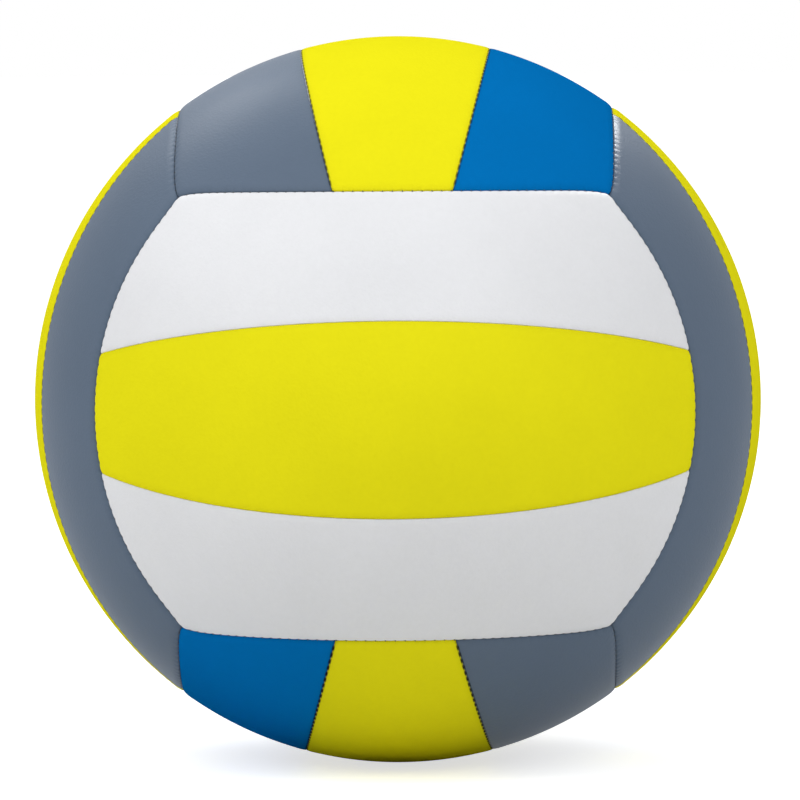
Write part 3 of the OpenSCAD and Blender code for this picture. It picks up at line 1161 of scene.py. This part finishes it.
@dataclass
class Threads:
    """Seam threads: a strand in the seam's floor and the stitches that cross it."""

    strand: float = 0.3 * MM
    strand_drop: float = 0.62 * MM
    stitch: float = 0.14 * MM
    strip_depth: float = 0.38 * MM
    edge_depth: float = 0.62 * MM
    stitch_width: float = 0.75 * MM
    strip_stop: float = 3.2 * MM
    edge_stop: float = 1.2 * MM
    slant: float = math.radians(14)
    least_slant: float = 0.7
    most_slant: float = 1.3
    strand_sides: int = 8
    stitch_sides: int = 6
    arch_steps: int = 5
    path_steps: int = 4
    seed: int = 7

    def tree(self) -> NodeTree:
        """Builds the stitching tree.

        Returns:
            Geometry node tree that works on a path in the seam's floor.
        """
        number = "NodeSocketFloat"
        graph, given, result = new_group(
            "Stitching", "GeometryNodeTree",
            {"Geometry": ("NodeSocketGeometry", None), "Stitches": ("NodeSocketInt", 41),
             "Strand Radius": (number, self.strand), "Stitch Radius": (number, self.stitch),
             "Stitch Rise": (number, self.strand_drop),
             "Stitch Width": (number, self.stitch_width), "Slant": (number, self.slant),
             "Least Slant": (number, self.least_slant), "Most Slant": (number, self.most_slant),
             "Seed": ("NodeSocketInt", self.seed), "Material": ("NodeSocketMaterial", None)},
            {"Geometry": "NodeSocketGeometry"})
        path = graph.add("GeometryNodeMeshToCurve")
        graph.put(given.outputs["Geometry"], path.inputs[0])
        strand = self.tube(graph, path.outputs[0], given.outputs["Strand Radius"], self.strand_sides)
        spaced = graph.add("GeometryNodeResampleCurve")
        graph.put(path.outputs[0], spaced.inputs["Curve"])
        graph.put(given.outputs["Stitches"], spaced.inputs["Count"])
        points = graph.add("GeometryNodeInstanceOnPoints")
        graph.put(spaced.outputs[0], points.inputs["Points"])
        graph.put(self.loop(graph, given), points.inputs["Instance"])
        graph.put(self.facing(graph, given), points.inputs["Rotation"])
        both = graph.add("GeometryNodeJoinGeometry")
        graph.put(strand, both.inputs[0])
        graph.put(points.outputs[0], both.inputs[0])
        return finish_tree(graph, given, result, both.outputs[0], smooth=True)

    @staticmethod
    def tube(graph: Graph, curve: NodeSocket, radius: object, sides: int) -> NodeSocket:
        """Gives a curve a round section.

        Args:
            graph: Graph to add to.
            curve: The curve's socket.
            radius: Radius of the section.
            sides: Sides of the section.

        Returns:
            The tube's socket.
        """
        ring = graph.add("GeometryNodeCurvePrimitiveCircle")
        ring.inputs["Resolution"].default_value = sides
        graph.put(radius, ring.inputs["Radius"])
        body = graph.add("GeometryNodeCurveToMesh")
        graph.put(curve, body.inputs["Curve"])
        graph.put(ring.outputs[0], body.inputs["Profile Curve"])
        body.inputs["Fill Caps"].default_value = True
        return body.outputs[0]

    def loop(self, graph: Graph, given: Node) -> NodeSocket:
        """Makes one stitch: a short arch across the seam.

        Args:
            graph: Graph to add to.
            given: The tree's input node.

        Returns:
            The stitch's socket.
        """
        arch = graph.add("GeometryNodeCurveQuadraticBezier")
        arch.inputs["Resolution"].default_value = self.arch_steps
        width = given.outputs["Stitch Width"]
        for name, sign in (("Start", -1.0), ("End", 1.0)):
            point = graph.add("ShaderNodeCombineXYZ")
            graph.put(graph.math("MULTIPLY", width, sign), point.inputs["Y"])
            graph.put(point.outputs[0], arch.inputs[name])
        top = graph.add("ShaderNodeCombineXYZ")
        graph.put(graph.math("MULTIPLY", given.outputs["Stitch Rise"], 2.0), top.inputs["Z"])
        graph.put(top.outputs[0], arch.inputs["Middle"])
        return self.tube(graph, arch.outputs[0], given.outputs["Stitch Radius"], self.stitch_sides)

    @staticmethod
    def facing(graph: Graph, given: Node) -> NodeSocket:
        """Turns each stitch to stand across its seam, a little slanted.

        Args:
            graph: Graph to add to.
            given: The tree's input node.

        Returns:
            The rotation's socket.
        """
        outwards = graph.add("FunctionNodeAlignRotationToVector", axis="Z")
        graph.put(graph.add("GeometryNodeInputPosition").outputs[0], outwards.inputs["Vector"])
        along = graph.add("FunctionNodeAlignRotationToVector", axis="X", pivot_axis="Z")
        graph.put(outwards.outputs[0], along.inputs["Rotation"])
        graph.put(graph.add("GeometryNodeInputTangent").outputs[0], along.inputs["Vector"])
        spread = graph.add("FunctionNodeRandomValue", data_type="FLOAT")
        graph.put(given.outputs["Least Slant"], spread.inputs[2])
        graph.put(given.outputs["Most Slant"], spread.inputs[3])
        graph.put(given.outputs["Seed"], spread.inputs["Seed"])
        angle = graph.math("MULTIPLY", given.outputs["Slant"], spread.outputs[1])
        slant = graph.add("FunctionNodeAxisAngleToRotation")
        slant.inputs["Axis"].default_value = (0, 0, 1)
        graph.put(angle, slant.inputs["Angle"])
        turned = graph.add("FunctionNodeRotateRotation", rotation_space="LOCAL")
        graph.put(along.outputs[0], turned.inputs["Rotation"])
        graph.put(slant.outputs[0], turned.inputs["Rotate By"])
        return turned.outputs[0]

    def path(self, name: str, seam: Seam, stitches: int, depth: float,
             faces: tuple[str, ...]) -> Object:
        """Lays a path along the floor of like seams, two on each face.

        Args:
            name: Name of the piece.
            seam: Seam of the front face's upper strip.
            stitches: Number of stitches on each seam.
            depth: Depth of the path under the ball's outline.
            faces: Faces whose seams it follows.

        Returns:
            Object that holds the paths.
        """
        reach = (stitches - 1) / 2 * SIZES.pitch / (math.sin(seam.half) * SIZES.radius)
        line = seam.place(np.linspace(-reach, reach, self.path_steps * stitches)) * (SIZES.radius - depth)
        points, edges = [], []
        for face in faces:
            for flip in (0, 180):
                start = sum(len(p) for p in points)
                points.append(line @ (FACES[face] @ turn((0, 1, 0), flip)).T)
                edges += [(start + k, start + k + 1) for k in range(len(line) - 1)]
        return new_piece(name, np.concatenate(points), [], edges)

    def build(self) -> None:
        """Builds and dresses the thread pieces."""
        tree = self.tree()
        dark, pale = DARK_THREAD.build(), PALE_THREAD.build()
        coloured = ("left", "right", "top", "bottom")
        for name, kind, faces, material in (
                ("white_seam_stitching", "strip", ("front", "back"), pale),
                ("strip_seam_stitching", "strip", coloured, dark),
                ("edge_seam_stitching", "edge", tuple(FACES), dark)):
            seam, depth, short = strip_seam(True), self.strip_depth, self.strip_stop
            if kind == "edge":
                seam, depth, short = edge_seam(), self.edge_depth, self.edge_stop
            reach = seam.end * math.sin(seam.half) * SIZES.radius
            stitches = 2 * int((reach - short) / SIZES.pitch) + 1
            piece = self.path(name, seam, stitches, depth + self.strand_drop, faces)
            run_tree(piece, tree, {"Stitches": stitches, "Material": material})
            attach(piece, BODY)
            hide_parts(f"{kind}_seam_threads")
            LOG.info("%s: %d stitches on each of %d seams", name, stitches, 2 * len(faces))


@dataclass
class Valve:
    """The valve's opening in the cover, its housing and its insert."""

    hole: float = 4.6 * MM
    rim: float = 0.6 * MM
    rim_steps: int = 6
    flare: float = 1.5 * MM
    flare_rise: float = 0.8 * MM
    sink: float = 0.12 * MM
    below: float = 8 * MM
    above: float = 4 * MM
    sides: int = 96

    def open_cover(self, piece: Object, material: Material) -> None:
        """Cuts the valve's opening, with a rounded rim, through the back face's middle panel.

        Args:
            piece: The panel.
            material: Its leather.
        """
        top = SIZES.radius - self.sink
        outline = [(0.0, top - self.below), (self.hole, top - self.below)]
        for angle in np.linspace(0, math.pi / 2, self.rim_steps + 1):
            outline.append((self.hole + self.rim * (1 - math.cos(angle)),
                            top - self.rim + self.rim * math.sin(angle)))
        wide = self.hole + self.flare
        outline += [(wide, top + self.flare_rise), (wide, top + self.above), (0.0, top + self.above)]
        cutter = lathe("valve_cutter", outline, self.sides)
        cutter.data.materials.append(material)
        cut = piece.modifiers.new("Opening", "BOOLEAN")
        cut.operation = "DIFFERENCE"
        cut.solver = "EXACT"
        cut.object = cutter
        keep_result(piece)
        bpy.data.objects.remove(cutter)

    def build(self) -> None:
        """Dresses the housing and the insert."""
        dress("valve_housing", VALVE_RUBBER.build())
        dress("valve_insert", INSERT_RUBBER.build())


def lathe(name: str, outline: list[tuple[float, float]], sides: int) -> Object:
    """Turns an outline about the valve's axis, +Y.

    Args:
        name: Name of the piece.
        outline: Radius and height of each corner, from the lower end of the axis to the upper one.
        sides: Sides of the turned body.

    Returns:
        The closed body.
    """
    angles = np.linspace(0, 2 * math.pi, sides, endpoint=False)
    points = [np.array([[0, outline[0][1], 0]])]
    for radius, height in outline[1:-1]:
        x, z = radius * np.cos(angles), -radius * np.sin(angles)
        points.append(np.stack([x, np.full(sides, height), z], 1))
    points.append(np.array([[0, outline[-1][1], 0]]))
    rings = len(outline) - 2
    faces = []
    for k in range(sides):
        following = (k + 1) % sides
        faces.append((0, 1 + following, 1 + k))
        for r in range(rings - 1):
            a, b = 1 + r * sides + k, 1 + r * sides + following
            faces.append((a, b, b + sides, a + sides))
        top = 1 + (rings - 1) * sides
        faces.append((top + k, top + following, 1 + rings * sides))
    return new_piece(name, np.concatenate(points), faces)


def dress(node: str, material: Material) -> None:
    """Gives a CAD node its material.

    Args:
        node: Name of the node.
        material: The material.
    """
    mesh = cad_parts[node].data
    mesh.materials.clear()
    mesh.materials.append(material)
    LOG.info("%s: %s", node, material.name)


@dataclass
class Core:
    """What the cover hides: foam, bladder and the valve's patch."""

    def build(self) -> None:
        """Dresses the hidden nodes."""
        foam = FOAM.build()
        for face, _, place, _ in LAYOUT:
            dress(f"{face}_{place}_foam", foam)
        dress("bladder", BLADDER_RUBBER.build())
        dress("valve_patch", PATCH_RUBBER.build())


@dataclass(frozen=True)
class Lamp:
    """Square soft lamp that looks at the ball."""

    name: str
    azimuth: float
    elevation: float
    size: float
    power: float
    sheen_only: bool = False
    distance: float = 1.6

    def build(self) -> None:
        """Hangs the lamp; a sheen lamp shows in reflections only."""
        data = bpy.data.lights.new(self.name, "AREA")
        data.shape = "SQUARE"
        data.size = self.size
        data.energy = self.power
        around, up = math.radians(self.azimuth), math.radians(self.elevation)
        place = Vector((math.sin(around) * math.cos(up), -math.cos(around) * math.cos(up), math.sin(up)))
        lamp = bpy.data.objects.new(self.name, data)
        lamp.location = self.distance * place
        lamp.rotation_euler = place.to_track_quat("Z", "Y").to_euler()
        lamp.visible_diffuse = not self.sheen_only
        bpy.context.scene.collection.objects.link(lamp)


LAMPS = (
    Lamp("Left", azimuth=-60, elevation=40, size=1.0, power=11.4),
    Lamp("Right", azimuth=48, elevation=40, size=1.0, power=9.2),
    Lamp("Front", azimuth=-25, elevation=40, size=1.0, power=1.4),
    Lamp("Top", azimuth=20, elevation=65, size=0.8, power=2.0),
    Lamp("Back", azimuth=180, elevation=58, size=0.8, power=5.5),
    Lamp("Sheen right", azimuth=160, elevation=44, size=0.5, power=50.0, sheen_only=True),
    Lamp("Sheen left", azimuth=-148, elevation=42, size=0.5, power=7.5, sheen_only=True),
)


@dataclass
class Studio:
    """Floor, soft light and the camera.

    The camera's distance is in ball radii, its turn in degrees. The ball's outline and centre are in pixels
    of the square picture.
    """

    distance: float = 16.65
    turned: tuple[float, float, float] = (3.268, -0.322, -0.781)
    outline: float = 363.2
    centre: tuple[float, float] = (397.93, 399.16)
    picture: float = 800.0
    sensor: float = 36.0
    seen_range: tuple[float, float] = (0.1, 100.0)
    ambient: float = 0.3
    floor_size: float = 60.0
    floor_colour: float = 0.8
    shadow_glow: float = 0.66
    shadow_reach: tuple[float, float] = (0.3, 1.2)

    def camera(self) -> None:
        """Sets the camera at the photograph's angle and framing."""
        angles = [math.radians(a) for a in self.turned]
        spin = (Matrix.Rotation(angles[2], 3, "Z") @ Matrix.Rotation(angles[1], 3, "Y")
                @ Matrix.Rotation(angles[0], 3, "X")).inverted()
        data = bpy.data.cameras.new("Camera")
        data.sensor_width = self.sensor
        focal = self.outline * math.sqrt(self.distance ** 2 - 1)
        data.lens = focal / self.picture * self.sensor
        data.shift_x = (self.picture / 2 - self.centre[0]) / self.picture
        data.shift_y = -(self.picture / 2 - self.centre[1]) / self.picture
        data.clip_start, data.clip_end = self.seen_range
        camera = bpy.data.objects.new("Camera", data)
        bpy.context.scene.collection.objects.link(camera)
        look = spin @ Vector((0, 1, 0))
        up = spin @ Vector((0, 0, 1))
        side = look.cross(up)
        basis = Matrix((side, up, -look)).transposed().to_4x4()
        camera.matrix_world = Matrix.Translation(-look * self.distance * SIZES.radius) @ basis
        bpy.context.scene.camera = camera

    @staticmethod
    def seen(graph: Graph) -> NodeSocket:
        """Tells rays that show the background from rays that light the ball.

        Args:
            graph: Graph to add to.

        Returns:
            Socket with 1 for camera, glossy and transmission rays.
        """
        path = graph.add("ShaderNodeLightPath")
        shown = graph.math("MAXIMUM", path.outputs["Is Camera Ray"], path.outputs["Is Glossy Ray"])
        return graph.math("MAXIMUM", shown, path.outputs["Is Transmission Ray"])

    def world(self) -> None:
        """Sets the soft surrounding light and the white background."""
        world = bpy.data.worlds.new("World")
        world.use_nodes = True
        bpy.context.scene.world = world
        graph = Graph(world.node_tree)
        world.node_tree.nodes.clear()
        mix = graph.add("ShaderNodeMixShader")
        graph.put(self.seen(graph), mix.inputs[0])
        for k, strength in enumerate((self.ambient, 1.0)):
            light = graph.add("ShaderNodeBackground")
            light.inputs["Color"].default_value = (1, 1, 1, 1)
            light.inputs["Strength"].default_value = strength
            graph.put(light.outputs[0], mix.inputs[1 + k])
        out = graph.add("ShaderNodeOutputWorld")
        graph.put(mix.outputs[0], out.inputs["Surface"])

    def floor(self) -> None:
        """Lays a pale floor that looks white and keeps the ball's shadow."""
        size = self.floor_size
        corners = [(x * size, y * size, -SIZES.radius) for x, y in ((-1, -1), (1, -1), (1, 1), (-1, 1))]
        piece = new_piece("floor", np.array(corners), [(0, 1, 2, 3)])
        material = bpy.data.materials.new("Floor")
        material.use_nodes = True
        graph = Graph(material.node_tree)
        material.node_tree.nodes.clear()
        matt = graph.add("ShaderNodeBsdfDiffuse")
        matt.inputs["Color"].default_value = (self.floor_colour,) * 3 + (1,)
        glow = graph.add("ShaderNodeEmission")
        place = graph.add("ShaderNodeTexCoord").outputs["Object"]
        level = graph.span(graph.vector("LENGTH", place), self.shadow_reach, (self.shadow_glow, 1.0),
                           interpolation_type="SMOOTHSTEP")
        graph.put(graph.math("MULTIPLY", self.seen(graph), level), glow.inputs["Strength"])
        total = graph.add("ShaderNodeAddShader")
        graph.put(matt.outputs[0], total.inputs[0])
        graph.put(glow.outputs[0], total.inputs[1])
        out = graph.add("ShaderNodeOutputMaterial")
        graph.put(total.outputs[0], out.inputs["Surface"])
        piece.data.materials.append(material)

    def build(self) -> None:
        """Builds the whole studio."""
        self.camera()
        self.world()
        self.floor()
        for lamp in LAMPS:
            lamp.build()
        bpy.context.scene.view_settings.view_transform = "Standard"
        LOG.info("studio built")


def main() -> None:
    """Builds the ball and its studio."""
    logging.basicConfig(level=logging.INFO, format="%(message)s")
    Studio().build()
    Cover().build()
    Threads().build()
    Core().build()
    Valve().build()


if __name__ == "__main__":
    main()
